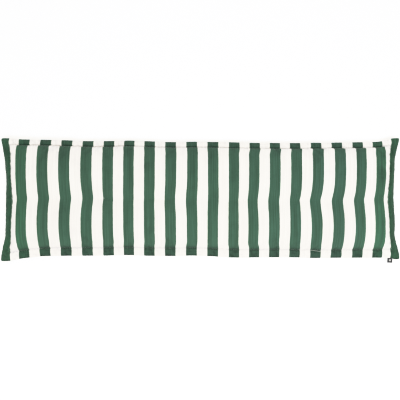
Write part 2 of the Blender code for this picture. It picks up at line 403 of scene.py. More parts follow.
class Finish:
    """A material being made: one Principled shader, and the nodes that feed it."""

    def __init__(self, name):
        self.material = bpy.data.materials.new(name)
        self.material.use_nodes = True
        self.tree = self.material.node_tree

    def fill(self, made, sockets):
        """Fills or links a node's sockets, which go by name or number."""
        for name, value in sockets.items():
            socket = made.inputs[name]
            if isinstance(value, Value):
                self.tree.links.new(value.socket, socket)
            elif socket.type == "RGBA":
                socket.default_value = (*value[:3], 1.0)
            else:
                socket.default_value = value

    def node(self, kind, settings=None, sockets=None, outputs=(0,)):
        """Adds a node, sets it up, and fills its sockets. Gives the values that its outputs hold."""
        made = self.tree.nodes.new(kind)
        for name, value in (settings or {}).items():
            setattr(made, name, value)
        self.fill(made, sockets or {})
        values = [Value(self, made.outputs[name]) for name in outputs]
        return values if len(values) > 1 else values[0]

    def paint(self, sockets):
        """Fills or links the shader's sockets, and gives the finished material."""
        self.fill(self.tree.nodes["Principled BSDF"], sockets)
        return self.material

    def sum(self, operation, *terms):
        return self.node("ShaderNodeMath", {"operation": operation}, dict(enumerate(terms)))

    def clamp(self, value):
        return self.node("ShaderNodeClamp", None, {"Value": value})

    def mix(self, share, first, second):
        """A colour between two others."""
        return self.node("ShaderNodeMix", {"data_type": "RGBA"}, {"Factor": share, 6: first, 7: second}, (2,))

    def brighten(self, colour, amount):
        """A colour times a number."""
        return self.node("ShaderNodeVectorMath", {"operation": "SCALE"}, {0: colour, "Scale": amount})

    def parts(self, place):
        """The first two of a place's three numbers."""
        return self.node("ShaderNodeSeparateXYZ", None, {0: place}, (0, 1))

    def flat_place(self):
        """How far along and across the flat cloth a point lies."""
        return self.parts(self.node("ShaderNodeUVMap", {"uv_map": "flat_cloth"}))

    def stored(self, name):
        """A value that is stored with the points of the cover."""
        return self.node("ShaderNodeAttribute", {"attribute_name": name}, None, ("Fac",))

    def unevenness(self, along, across, detail=2.0):
        """Smooth noise from 0 to 1 over a place that is measured in lumps."""
        sockets = {"Scale": 1.0, "Detail": detail}
        sockets["Vector"] = self.node("ShaderNodeCombineXYZ", None, {0: along, 1: across})
        return self.node("ShaderNodeTexNoise", {"noise_dimensions": "2D"}, sockets)

    def bump(self, height, distance, strength):
        sockets = {"Height": height, "Distance": distance, "Strength": strength}
        return self.node("ShaderNodeBump", None, sockets)

    def plain_weave(self, along, across, pitch):
        """How high the threads of a plain weave stand, from 0 between them to 1 on top."""
        sine_along = self.sum("SINE", along * (math.pi / pitch))
        sine_across = self.sum("SINE", across * (math.pi / pitch))
        over = self.clamp(sine_along * sine_across * 2.5 + 0.5)
        return self.sum("ABSOLUTE", sine_along) * over + self.sum("ABSOLUTE", sine_across) * (1 - over)


# In the materials, along and across are times the number of lumps or threads that a metre holds


def striped_cloth(settings):
    """Plain-woven outdoor cloth in block stripes, with yarns of uneven thickness along the stripes."""
    finish = Finish("striped_cloth")
    along, across = finish.flat_place()

    waver = finish.unevenness(along * 40, across * 55) - 0.5
    place = (along + waver * 0.0011 - settings.first_stripe) * (1 / settings.stripe_pitch)
    away = finish.sum("PINGPONG", place, 0.5) * settings.stripe_pitch
    edge = settings.colour_share * settings.stripe_pitch / 2
    stripe = (edge - away) * (1 / 0.0014) + 0.5

    yarn = finish.unevenness(along * 260, across * 5, detail=3.0)
    thread = finish.unevenness(along * 900, across * 28)
    weft = finish.unevenness(along * 24, across * 800)
    cloud = finish.unevenness(along * 9, across * 9)
    streak = (thread - 0.5) * 0.30 + (weft - 0.5) * 0.14 + (cloud - 0.5) * 0.16
    shade = finish.clamp((yarn - 0.5) * 2.6 + 0.5)

    # Darker on the two-layer border, partly of itself and partly as painted shade; painted shade in the
    # seam's groove, in creases and in the puckers' streaks
    doubled_and_painted_shade = finish.stored("doubled_and_painted_shade")
    pinched = finish.stored("pinched") * (finish.unevenness(along * 90, across * 90) * 2.2 - 0.1)
    outwards = finish.clamp(along * 1.4 + 0.5) * 2 - 1
    slanted = along + outwards * finish.sum("ABSOLUTE", across) * PUCKER_SLANT
    streaks = finish.unevenness(slanted * 170, across * 30)
    pinched = pinched + finish.stored("gathered") * finish.clamp((streaks - 0.47) * 4)

    # Greener, brighter stripes and slightly brighter ground towards the ends
    towards_ends = finish.clamp((finish.sum("ABSOLUTE", along) - 0.57) * 6)
    # Towards the right the colours are bluer, and brighter as painted light
    bluer_and_lit_right = finish.clamp(along * 1.6)
    # Painted light: the coloured stripes brighter towards the near side, the ground brighter towards the far
    # side
    painted_light_across = finish.clamp(0.5 - across * 2.4) - 0.5
    plain = finish.mix(bluer_and_lit_right, settings.stripe_colour, settings.lit_bluer_stripe_colour)
    full = finish.mix(towards_ends, plain, settings.end_stripe_colour)
    dyed = finish.mix(shade, settings.stripe_shade, full)
    dyed = finish.brighten(dyed, streak + 1.0 + painted_light_across * 0.12 - doubled_and_painted_shade * 0.13 - finish.clamp(pinched) * 0.22)
    whiter = finish.mix(bluer_and_lit_right, settings.ground_colour, settings.lit_whiter_ground_colour)
    ground = finish.mix(shade, settings.ground_shade, whiter)
    ground = finish.brighten(ground, streak * 0.45 + 1.0 + doubled_and_painted_shade * 0.01 + towards_ends * 0.06 - painted_light_across * 0.05)
    # In the seam's groove and creases the ground turns towards the colour of their painted shade
    ground = finish.mix(finish.clamp(pinched * 0.50), ground, settings.seam_shade_colour)
    crossed = finish.mix(finish.clamp(stripe * 2), ground, settings.edge_colour)
    weave = finish.plain_weave(along, across, settings.thread_pitch)
    colour = finish.mix(finish.clamp(stripe * 2 - 1), crossed, dyed)
    # The colour is darker between the threads of the weave: painted shade
    return finish.paint({
        "Base Color": finish.brighten(colour, weave * 0.12 + 0.93),
        "Roughness": 0.93 - weave * 0.10,
        "Normal": finish.bump(weave + yarn * 0.8 + thread * 0.35, 0.00028, 0.55),
        "Specular IOR Level": 0.25,
        "Sheen Weight": 0.12,
        "Sheen Roughness": 0.5,
    })


def sewing_thread(name, thread_colour):
    """Twisted polyester thread: its strands run slantwise round it."""
    finish = Finish(name)
    along, around = finish.flat_place()
    strand = finish.sum("SINE", (along * 2200 + around) * (2 * math.pi)) * 0.5 + 0.5
    fuzz = finish.unevenness(along * 3000, around * 4)
    # The colour is darker in the grooves between the strands: painted shade
    return finish.paint({
        "Base Color": finish.brighten(thread_colour, strand * 0.28 + fuzz * 0.2 + 0.68),
        "Roughness": 0.72 - strand * 0.15,
        "Normal": finish.bump(strand, 0.00006, 0.7),
        "Sheen Weight": 0.2,
    })


def woven_tab(settings):
    """Fine dark woven tape with a plain pale square in the middle of its upper face."""
    finish = Finish("woven_tab")
    across, out = finish.flat_place()
    centre = (TAB_HIGH.y - TAB_LOW.y) / 2
    away = finish.sum("MAXIMUM", finish.sum("ABSOLUTE", across), finish.sum("ABSOLUTE", out - centre))
    ragged = finish.unevenness(across * 1800, out * 1800) - 0.5
    square = finish.clamp((settings.square_size / 2 - away + ragged * 0.0004) * (1 / 0.0003) + 0.5)
    weave = finish.plain_weave(across, out, 0.00045)
    slub = finish.unevenness(across * 900, out * 250)
    colour = finish.mix(square, settings.tape_colour, settings.square_colour)
    # The colour is darker between the threads of the weave: painted shade; the slubs are the yarn's own
    return finish.paint({
        "Base Color": finish.brighten(colour, weave * 0.35 + slub * 0.3 + 0.60),
        "Roughness": 0.80 - weave * 0.15,
        "Normal": finish.bump(weave + square * 0.6, 0.00012, 0.7),
        "Sheen Weight": 0.1,
    })


def floor_paint(settings):
    """Smooth pale floor."""
    finish = Finish("floor_paint")
    along, across = finish.parts(finish.node("ShaderNodeTexCoord", outputs=("Object",)))
    cloud = finish.unevenness(along * 3, across * 3)
    return finish.paint({
        "Base Color": finish.brighten(settings.floor_colour, cloud * 0.02 + 0.99),
        "Roughness": cloud * 0.06 + 0.72,
        "Emission Color": (1.0, 1.0, 1.0),
        "Emission Strength": settings.floor_glow,
    })


# ---- The shape of the filled cushion, for many points at once ----


def read(source, column, at):
    """A smooth curve through one column of a table, read at many places at once."""
    places = next(iter(source.values()))
    values = source[column]
    last = len(places) - 1
    before = np.maximum(np.arange(last + 1) - 1, 0)
    after = np.minimum(np.arange(last + 1) + 1, last)
    slopes = (values[after] - values[before]) / (places[after] - places[before])
    at = np.clip(at, places[0], places[-1])
    start = np.clip(np.searchsorted(places, at) - 1, 0, last - 1)
    stop = start + 1
    span = places[stop] - places[start]
    share = (at - places[start]) / span
    rest = 1 - share
    return (
        values[start] * (1 + 2 * share) * rest**2
        + values[stop] * (1 + 2 * rest) * share**2
        + slopes[start] * span * share * rest**2
        - slopes[stop] * span * rest * share**2
    )


def smooth_step(value):
    """0 below 0, 1 above 1, and a smooth rise between."""
    share = np.clip(value, 0.0, 1.0)
    return share * share * (3 - 2 * share)


def noise_at(along, across, seed):
    """Smooth noise, from about -1 to 1, at places measured in lumps."""
    return np.array([noise.noise((a, b, seed)) for a, b in zip(along, across)])


def hump(away, reach):
    """1 at no distance, falling away smoothly over a reach on either side."""
    return np.exp(-((away / reach) ** 2))


def round_corners(along, across):
    """Moves the points of the flat cut that lie in its square corners to where they lie in round ones."""
    past_along = np.clip((np.abs(along) - HALF_LENGTH) / CORNER_RADIUS + 1, 0.0, 1.0)
    past_across = np.clip((np.abs(across) - HALF_WIDTH) / CORNER_RADIUS + 1, 0.0, 1.0)
    trim_along = CORNER_RADIUS * past_along * (1 - np.sqrt(1 - past_across**2 / 2))
    trim_across = CORNER_RADIUS * past_across * (1 - np.sqrt(1 - past_along**2 / 2))
    return along - np.sign(along) * trim_along, across - np.sign(across) * trim_across


def end_curl(along, across):
    """How far out of its end's seam and how far down a point lies, as the border there curls down evenly."""
    past = np.maximum(np.abs(along) - HALF_LENGTH + BORDER_END, 0.0)
    turned = np.radians(read(ENDS, "curl_deg", across)) * past / BORDER_END
    return past * np.sinc(turned / math.pi), past * turned / 2 * np.sinc(turned / (2 * math.pi)) ** 2


def plan_of(along, across):
    """Where points of the flat cut lie in plan once the cushion is filled."""
    along, across = round_corners(along, across)
    seam = HALF_LENGTH - BORDER_END
    inside = np.minimum(np.abs(along), seam)
    out, _down = end_curl(along, across)
    x = np.sign(along) * (inside + out - read(ENDS, "drawn", across) * (inside / seam) ** END_DRAW_SPREAD)
    near = read(LONG_EDGES, "near", along)
    far = read(LONG_EDGES, "far", along)
    return x, near + (far - near) * (across + HALF_WIDTH) / (2 * HALF_WIDTH)


def body_insets(along, across):
    """How far points lie inside the seam, from the end, the far side and the near side."""
    return (
        HALF_LENGTH - np.abs(along) - BORDER_END,
        HALF_WIDTH - across - BORDER_FAR,
        HALF_WIDTH + across - BORDER_NEAR,
    )


def seam_inset(along, across):
    """How far points lie inside the nearest seam, and below 0 on the border."""
    return np.minimum.reduce(body_insets(along, across))


def wall_share(inset, wall):
    """The share of its full height that the body has at an inset from a seam."""
    reach, fullness = wall
    share = np.clip(inset / reach, 0.0, 1.0)
    return (1 - (1 - share) ** 2) ** fullness


def body_share(along, across, walls, valley_share):
    """The share of its full height that the body has, with its walls and valley."""
    end, far, near = map(wall_share, body_insets(along, across), walls)
    return end * far * near * (1 - valley_share * np.exp(-((np.abs(across) / VALLEY_REACH) ** VALLEY_POWER)))


def tuft_share(along, across, reach_along=TUFT_REACH_ALONG, reach_across=TUFT_REACH_ACROSS):
    """How near points are to a tuft, from 0 away from them all to 1 on one."""
    return sum(hump(along - place, reach_along) * hump(across, reach_across) for place in TUFT_PLACES)


def border_share(along, across):
    """0 at the seam and inside it, 1 at the outer edge."""
    end, far, near = body_insets(along, across)
    return np.clip(np.maximum.reduce([-end / BORDER_END, -far / BORDER_FAR, -near / BORDER_NEAR]), 0.0, 1.0)


def border_middle(along, across):
    """The level of the middle of the cloth where the two panels lie on each other."""
    out = border_share(along, across)
    wave = BORDER_WAVE * out * np.sin(2 * math.pi * (along + across) / BORDER_WAVE_LENGTH)
    _reach, down = end_curl(along, across)
    return BORDER_LEVEL + wave - down - BORDER_DROOP * out**2


def half_thickness(along, across):
    """Half the thickness of the border, which is pinched at the seam and thinner at its turned edge."""
    loose = smooth_step(-seam_inset(along, across) / SEAM_PINCH_REACH)
    from_edge = np.minimum(HALF_LENGTH - np.abs(along), HALF_WIDTH - np.abs(across))
    edge = 1 - smooth_step(from_edge / EDGE_TAPER)
    thickness = SEAM_THICKNESS + (BORDER_THICKNESS - SEAM_THICKNESS) * loose
    return (thickness + (EDGE_THICKNESS - BORDER_THICKNESS) * edge) / 2


def top_level(along, across, settings):
    seam = border_middle(along, across) + half_thickness(along, across)
    rise = CUSHION_HIGH.z - BORDER_LEVEL - SEAM_THICKNESS / 2
    body = body_share(along, across, (TOP_END, TOP_FAR, TOP_NEAR), settings.valley_share)
    return seam + rise * body - settings.tuft_depth * tuft_share(along, across)


def base_level(along, across):
    """The underside, which its own weight flattens on what the cushion lies on."""
    seam = border_middle(along, across) - half_thickness(along, across)
    body = body_share(along, across, (BASE_END, BASE_SIDE, BASE_SIDE), BASE_VALLEY_SHARE)
    return np.maximum(0.0, seam - BASE_DROP * body + BASE_TUFT_DEPTH * tuft_share(along, across))


def stripe_drift(along, across):
    """How far the stripes stray from their even pitch."""
    far_border, near_border, body, seam, near_half, valley = (
        read(STRIPE_DRIFT, column, along) for column in list(STRIPE_DRIFT)[1:]
    )
    _end, far, near = body_insets(along, across)
    border = np.where(across > 0, far_border, near_border)
    body = body + near_half * smooth_step(0.5 - across / 0.08)
    inside = smooth_step(np.minimum(far, near) / 0.030)
    at_seam = np.exp(-np.maximum(far, 0.0) / SEAM_DRIFT_REACH) * smooth_step(far / 0.004)
    return border + (body - border) * inside + seam * at_seam + valley * hump(across, VALLEY_DRIFT_REACH)


# ---- The cover ----


def even_places(stops, step):
    """Places from the first stop to the last, evenly spread between each stop and the next."""
    places = [stops[0]]
    for start, stop in zip(stops, stops[1:]):
        count = math.ceil((stop - start) / step)
        places += [start + (stop - start) * number / count for number in range(1, count + 1)]
    return places


def grid_places(half, border_low, border_high, stops):
    """The lines of points from one edge to the other: close on the borders and walls, even between."""
    low, high = (
        [EDGE_ROUND] + [share * border for share in BORDER_SHARES] + [border + step for step in WALL_STEPS]
        for border in (border_low, border_high)
    )
    low = [inset - half for inset in low]
    high = [half - inset for inset in high]
    return np.array(low[:-1] + even_places([low[-1], *stops, high[-1]], CELL) + high[-2::-1])


def stacked(along, across, level):
    """One row of x, y and z for each point."""
    x, y = plan_of(along, across)
    return np.column_stack([x.ravel(), y.ravel(), level.ravel()])


def cloth_lengths(points, shape):
    """How far along and across the cloth each point of a filled sheet lies, measured on its surface."""
    grid = points.reshape(*shape, 3)
    along = np.insert(np.cumsum(np.linalg.norm(np.diff(grid, axis=1), axis=2), axis=1), 0, 0.0, axis=1)
    middle = np.argmin(np.abs(grid[shape[0] // 2, :, 0]))
    along += (grid[:, middle, 0] - along[:, middle])[:, None]
    across = np.insert(np.cumsum(np.linalg.norm(np.diff(grid, axis=0), axis=2), axis=0), 0, 0.0, axis=0)
    middle = np.argmin(np.abs(grid[:, shape[1] // 2, 1]))
    across += (grid[middle, :, 1] - across[middle, :])[None, :]
    return np.column_stack([along.ravel(), across.ravel()])


def grid_quads(numbers):
    """The faces of a grid of numbered points."""
    corners = [numbers[:-1, :-1], numbers[:-1, 1:], numbers[1:, 1:], numbers[1:, :-1]]
    return np.stack(corners, axis=-1).reshape(-1, 4)


def cover_skin(settings):
    """The cover on its filled shape: an upper sheet, a lower sheet, and a turned edge of two lips between.

    Gives the points, how far along and across the flat cut they lie, their side, their flat cloth, and faces.
    """
    columns = grid_places(HALF_LENGTH, BORDER_END, BORDER_END, TUFT_PLACES)
    rows = grid_places(HALF_WIDTH, BORDER_NEAR, BORDER_FAR, (0.0,))
    along, across = np.meshgrid(columns, rows)
    numbers = np.arange(along.size).reshape(along.shape)
    loop = np.concatenate([numbers[0, :-1], numbers[:-1, -1], numbers[-1, :0:-1], numbers[:0:-1, 0]])
    points = [
        stacked(along, across, top_level(along, across, settings)),
        stacked(along, across, base_level(along, across)),
    ]
    flats = [cloth_lengths(sheet, along.shape) for sheet in points]
    cuts = 2 * [np.column_stack([along.ravel(), across.ravel()])]
    sides = [np.ones(along.size), -np.ones(along.size)]

    rim = cuts[0][loop]
    at_edge = np.abs(rim) > HALF_CUT - 1.5 * EDGE_ROUND
    for inset, lift in ((0.0, 0.55), (0.6 * EDGE_ROUND, 0.0), (0.0, -0.55)):
        ring = np.where(at_edge, np.sign(rim) * (HALF_CUT - inset), rim)
        points.append(stacked(*ring.T, border_middle(*ring.T) + lift * half_thickness(*ring.T)))
        flats.append(flats[0][loop] + ring - rim)
        cuts.append(ring)
        sides.append(np.full(len(loop), lift))

    quads = grid_quads(numbers)
    faces = [np.stack([quads, quads[:, ::-1] + along.size], axis=1).reshape(-1, 4)]
    rings = [2 * along.size + number * len(loop) + np.arange(len(loop)) for number in range(3)]
    loops = [loop, *rings, loop + along.size]
    for upper, lower in zip(loops, loops[1:]):
        faces.append(np.column_stack([upper, lower, np.roll(lower, -1), np.roll(upper, -1)]))

    cut_along, cut_across = np.concatenate(cuts).T
    flat = np.concatenate(flats)
    flat[:, 0] -= stripe_drift(cut_along, cut_across)
    return np.concatenate(points), cut_along, cut_across, np.concatenate(sides), flat, np.concatenate(faces)


def store(mesh, name, values, domain="POINT"):
    """Stores a number with each point or edge of a mesh."""
    mesh.attributes.new(name, "FLOAT", domain).data.foreach_set("value", values.astype(np.float32))


def stored_in(items, name, width=1, kind=np.float32):
    """One property of all the points, edges or corners of a mesh."""
    values = np.empty(width * len(items), dtype=kind)
    items.foreach_get(name, values)
    return values.reshape(-1, width).squeeze()


def lay_flat(mesh, flat):
    """Stores where the points of a mesh lie on its flat cloth, as a UV map."""
    corners = stored_in(mesh.loops, "vertex_index", kind=np.int32)
    layer = mesh.uv_layers.new(name="flat_cloth")
    layer.uv.foreach_set("vector", flat[corners].astype(np.float32).ravel())


def move_points(mesh, points):
    mesh.vertices.foreach_set("co", points.astype(np.float32).ravel())


def add_object(name, data):
    """A new object in the scene."""
    made = bpy.data.objects.new(name, data)
    bpy.context.scene.collection.objects.link(made)
    return made


def skin_mesh(points, along, across, side, flat, faces):
    """A mesh of the cover's points, with its flat cut as attributes and its seam creased."""
    mesh = bpy.data.meshes.new("cushion_cover")
    mesh.from_pydata(points.tolist(), [], faces.tolist())
    for label, values in zip(CUT_LABELS, (along, across, side)):
        store(mesh, label, values)
    lay_flat(mesh, flat)
    on_seam = (np.abs(seam_inset(along, across)) < 1e-5) & (np.abs(side) == 1)
    both = on_seam[stored_in(mesh.edges, "vertices", 2, np.int32)].all(axis=1)
    store(mesh, "crease_edge", np.where(both, SEAM_CREASE, 0.0), "EDGE")
    return mesh


def hold_weights(points, along, across, side):
    """How firmly each point is held to its place while the cover fills: 1 is sewn or lying on the floor."""
    inset = np.maximum(seam_inset(along, across), 0.0)
    resting = (side < 0) & (points[:, 2] < 1e-5)
    return np.maximum.reduce([
        HELD_ANYWHERE + (1 - HELD_ANYWHERE) * np.exp(-inset / SEAM_HOLD_REACH),
        HELD_IN_VALLEY * hump(across, VALLEY_HOLD_REACH),
        tuft_share(along, across, *TUFT_HOLD_REACH),
        resting.astype(float),
    ])


def fill_cover(cover, points, weights, settings):
    """Fills the cover out with a cloth simulation, whose cut cloth is a little longer than the shape."""
    cover.shape_key_add(name="filled", from_mix=False)
    cut = cover.shape_key_add(name="cut", from_mix=False)
    cut.data.foreach_set("co", (points * (1 + settings.cloth_slack)).astype(np.float32).ravel())
    group = cover.vertex_groups.new(name="held")
    for number, weight in enumerate(weights):
        group.add([number], float(weight), "REPLACE")

    modifier = cover.modifiers.new("filling", "CLOTH")
    cloth = modifier.settings
    for name, value in CLOTH.items():
        setattr(cloth, name, value)
    cloth.uniform_pressure_force = settings.filling_pressure
    cloth.vertex_group_mass = "held"
    cloth.rest_shape_key = cut
    cloth.effector_weights.gravity = 0
    modifier.collision_settings.use_collision = False
    modifier.collision_settings.use_self_collision = False
    modifier.point_cache.frame_start = 1
    modifier.point_cache.frame_end = settings.simulated_frames
    scene = bpy.context.scene
    for number in range(1, settings.simulated_frames + 1):
        scene.frame_set(number)
    filled = cover.evaluated_get(bpy.context.evaluated_depsgraph_get()).to_mesh()
    moves = stored_in(filled.vertices, "co", 3).astype(float) - points
    cover.modifiers.remove(modifier)
    cover.shape_key_clear()
    cover.vertex_groups.remove(group)
    scene.frame_set(1)
    length = np.maximum(np.linalg.norm(moves, axis=1, keepdims=True), 1e-9)
    return moves * (LARGEST_MOVE * np.tanh(length / LARGEST_MOVE) / length)


def off_corner(inset):
    """0 a little past a seam, 1 a little inside it."""
    return smooth_step((inset + 0.010) / 0.02)


def seam_folds(along, across, end, side, settings):
    """The height of the puckers: uneven ridges that run away from the seams, higher where it is gathered."""
    x, y = plan_of(along, across)
    slanted = x - PUCKER_SLANT * np.clip(x / 0.35, -1.0, 1.0) * np.maximum(side, 0.0)
    ridges_side = noise_at(slanted / 0.013, side / 0.060, 1.0)
    ridges_side += 0.5 * noise_at(slanted / 0.008, side / 0.040, 2.0)
    ridges_end = noise_at(end / 0.060, y / 0.013, 3.0) + 0.5 * noise_at(end / 0.040, y / 0.008, 4.0)
    height = settings.pucker_height * (0.65 + 0.6 * noise_at(x / 0.10, y / 0.10, 5.0))
    for place_along, place_across, spread, more in GATHERS:
        height += more * hump(along - place_along, spread) * hump(across - place_across, spread)
    fade_side = np.exp(-np.maximum(side, 0.0) / PUCKER_REACH) * off_corner(end)
    fade_end = np.exp(-np.maximum(end, 0.0) / PUCKER_REACH) * off_corner(side)
    return height * (ridges_side * fade_side + ridges_end * fade_end)


def tuft_folds(along, across):
    """The height of the folds that run out from the tufts, of the crease through each, and of its dimple."""
    folds = np.zeros_like(along)
    for number, place in enumerate(TUFT_PLACES):
        away = (along - place) / 1.6
        reach = np.hypot(away, across)
        angle = np.arctan2(across, away)
        rays = noise_at(2.2 * np.cos(angle) + 3 * number, 2.2 * np.sin(angle) + reach / 0.05, 9.0)
        folds += TUFT_RAY * rays * hump(reach - 0.018, 0.014)
        folds -= TUFT_CREASE * hump(across, 0.0045) * hump(along - place, 0.040)
        folds -= TUFT_DIMPLE * hump(reach, 0.0065)
    return folds


def surface_details(points, normals, along, across, side_of, settings):
    """The cover's points with puckers, waves, lumps and folds, and how deep in a crease each one is, for
    painted shade in creases and a little painted light on crumples' ridges.
    """
    end, far, near = body_insets(along, across)
    side = np.where(across > 0, far, near)
    inset = np.minimum(side, end)
    out = border_share(along, across)
    body = smooth_step(inset / 0.004)
    folds = seam_folds(along, across, end, side, settings)

    x, y, level = points.T
    crumples = noise_at((x + 0.5 * y) / 0.013, y / 0.018, 10.0) * smooth_step(out / 0.25)
    crumples *= 0.4 + 0.6 * off_corner(end)
    turn = 2 * math.pi * out / 0.36 + 3 * noise_at(x / 0.05, y / 0.05, 11.0)
    ripples = np.sin(turn) * noise_at(x / 0.08, y / 0.08, 12.0)
    waves = SLOW_WAVE * out * noise_at(x / 0.045, y / 0.045, 6.0) + (1 - body) * folds * (1 - 0.4 * out)
    waves += CRUMPLE * crumples + RIPPLE * ripples * smooth_step(out / 0.15)
    lumps = LUMP * noise_at(x / 0.070, y / 0.060, 7.0) + SMALL_LUMP * noise_at(x / 0.030, y / 0.030, 8.0)
    lumps *= smooth_step(inset / 0.030)

    outward = (folds + lumps + tuft_folds(along, across)) * body
    outward[(side_of < 0) & (level < 0.0015)] = 0.0
    made = points + normals * outward[:, None]
    made[:, 2] = np.maximum(made[:, 2] + waves, 0.0)
    # How much painted shade each point gets in a crease, or painted light (below 0) on a crumple's ridge
    creases = np.clip(-folds * body / 0.0009, 0.0, 1.0) + np.clip(-2.2 * crumples - 1.4 * ripples, -0.3, 1.0)
    return made, creases


def store_shades(mesh, along, across, creases):
    """Stores where the cloth shows darker: the two-layer border, partly of itself and partly as painted
    shade, with painted shade a reach inside the seam, more at the ends, on the near side and along the turned
    edge; painted shade in the seam's groove and in creases, with a little painted light on crumples' ridges;
    and painted shade in the puckers by the seams.
    """
    inset = seam_inset(along, across)
    at_near = body_insets(along, across)[2] <= inset
    # Painted shade over the border and a reach inside the seam, stronger everywhere but the far side, and a
    # band along the turned near edge
    wall_shade_reach = np.where(at_near, NEAR_WALL_SHADE_REACH, FAR_WALL_SHADE_REACH)
    towards_far = smooth_step((across - 0.19) / 0.015)
    layers = smooth_step((wall_shade_reach - inset) / (wall_shade_reach + 0.002)) * (1 + NEAR_AND_END_SHADE * (1 - towards_far))
    layers += TURNED_EDGE_SHADE * hump(HALF_WIDTH + across, TURNED_SHADE_REACH)
    store(mesh, "doubled_and_painted_shade", layers)
    # Painted shade in the seam's groove, strong on the near side, and painted shade in creases
    seam_shade = hump(inset, PINCH_SHADE_REACH) * np.where(at_near, NEAR_SEAM_SHADE, FAR_SEAM_SHADE)
    store(mesh, "pinched", seam_shade + creases)
    # Painted shade in the streaks of the puckers by the seams, stronger towards the ends
    tight = 0.35 + 0.65 * smooth_step((np.abs(along) - 0.20) / 0.30)
    reach = np.where(inset < 0, BORDER_END, PUCKER_SHADE_REACH)
    store(mesh, "gathered", tight * np.exp(-np.abs(inset) / reach))


def make_cover(settings):
    skin = cover_skin(settings)
    mesh = skin_mesh(*skin)
    cover = add_object("cushion_cover", mesh)
    points = skin[0] + fill_cover(cover, skin[0], hold_weights(*skin[:4]), settings)
    points[:, 2] = np.maximum(points[:, 2], 0.0)
    move_points(mesh, points)
    mesh.update()

    smoothing = cover.modifiers.new("smoothing", "SUBSURF")
    smoothing.levels = 1
    graph = bpy.context.evaluated_depsgraph_get()
    smooth = bpy.data.meshes.new_from_object(
        cover.evaluated_get(graph), preserve_all_data_layers=True, depsgraph=graph
    )
    cover.modifiers.clear()
    cover.data = smooth
    bpy.data.meshes.remove(mesh)
    smooth.name = "cushion_cover"

    points = stored_in(smooth.vertices, "co", 3).astype(float)
    normals = stored_in(smooth.vertex_normals, "vector", 3).astype(float)
    along, across, side = (
        stored_in(smooth.attributes[label].data, "value").astype(float) for label in CUT_LABELS
    )
    made, creases = surface_details(points, normals, along, across, side, settings)
    move_points(smooth, made)
    store_shades(smooth, along, across, creases)
    for label in (*CUT_LABELS, "crease_edge"):
        if label in smooth.attributes:
            smooth.attributes.remove(smooth.attributes[label])
    smooth.update()
    smooth.shade_smooth()
    smooth.materials.append(striped_cloth(settings))

    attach(cover, "root")
    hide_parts("cushion")


# ---- Thread and tab ----


def cover_surface():
    """The cover's finished surface, for laying thread on it."""
    cover = bpy.data.objects.get("cushion_cover")
    if cover is None:
        raise RuntimeError("The cover has to be made before anything is sewn on it")
    return BVHTree.FromObject(cover, bpy.context.evaluated_depsgraph_get())


def thread_over(surface, places, lifts, direction):
    """A thread's path over the cover through places in plan, from above (direction 1) or below (-1)."""
    path = []
    for (x, y), lift in zip(places, lifts):
        place = surface.ray_cast(Vector((x, y, 0.2 * direction)), Vector((0, 0, -direction)))[0]
        if place is None:
            raise RuntimeError("A stitch lies outside the cover")
        path.append(place + Vector((0, 0, direction * lift)))
    return path


def add_strand(shape, layer, path, upward, thickness):
    """A round piece of thread along a path, thinner at its ends, where it goes into the cloth."""
    last = len(path) - 1
    rings = []
    travelled = 0.0
    for number, place in enumerate(path):
        forward = (path[min(number + 1, last)] - path[max(number - 1, 0)]).normalized()
        aside = forward.cross(upward).normalized()
        up = aside.cross(forward)
        if number:
            travelled += (place - path[number - 1]).length
        radius = thickness / 2 * (0.6 if number in (0, last) else 1.0)
        ring = []
        for side in range(THREAD_SIDES):
            angle = 2 * math.pi * side / THREAD_SIDES
            ring.append(shape.verts.new(place + radius * (math.cos(angle) * aside + math.sin(angle) * up)))
        rings.append((ring, travelled))
    for (ring, start), (after, stop) in zip(rings, rings[1:]):
        for side in range(THREAD_SIDES):
            beside = (side + 1) % THREAD_SIDES
            face = shape.faces.new((ring[side], after[side], after[beside], ring[beside]))
            shares = ((start, side), (stop, side), (stop, side + 1), (start, side + 1))
            for corner, (length, part) in zip(face.loops, shares):
                corner[layer].uv = (length, part / THREAD_SIDES)
    shape.faces.new(rings[0][0][::-1])
    shape.faces.new(rings[-1][0])


def make_strands(name, paths, direction, thickness, material):
    """Pieces of thread along paths, as one object that rides with the cushion."""
    shape = bmesh.new()
    layer = shape.loops.layers.uv.new("flat_cloth")
    for path in paths:
        add_strand(shape, layer, path, Vector((0, 0, direction)), thickness)
    bmesh.ops.recalc_face_normals(shape, faces=shape.faces[:])
    mesh = bpy.data.meshes.new(name)
    shape.to_mesh(mesh)
    shape.free()
    mesh.shade_smooth()
    mesh.materials.append(material)
    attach(add_object(name, mesh), "root")


def seam_path():
    """Places round the border seam on the flat cut, corner to corner, closely spaced."""
    right = HALF_LENGTH - BORDER_END
    far = HALF_WIDTH - BORDER_FAR
    near = BORDER_NEAR - HALF_WIDTH
    corners = [(-right, near), (right, near), (right, far), (-right, far)]
    sides = []
    for start, stop in zip(corners, corners[1:] + corners[:1]):
        sides.append(np.linspace(start, stop, math.ceil(math.dist(start, stop) / 0.002), endpoint=False))
    return np.concatenate(sides)


def resampled(path, step):
    """Points at even steps along a closed path in plan."""
    closed = np.vstack([path, path[:1]])
    lengths = np.concatenate([[0.0], np.cumsum(np.linalg.norm(np.diff(closed, axis=0), axis=1))])
    count = round(lengths[-1] / step)
    at = np.arange(count) * lengths[-1] / count
    return np.column_stack([np.interp(at, lengths, closed[:, 0]), np.interp(at, lengths, closed[:, 1])])


def sew_both_sides(name, stitches, lifts, thickness, material):
    """Stitches, given by places in plan and their lifts, on top of the cover and on its underside."""
    surface = cover_surface()
    for side, direction in (("top", 1), ("base", -1)):
        paths = [thread_over(surface, places, lifts, direction) for places in stitches]
        make_strands(name + side, paths, direction, thickness, material)


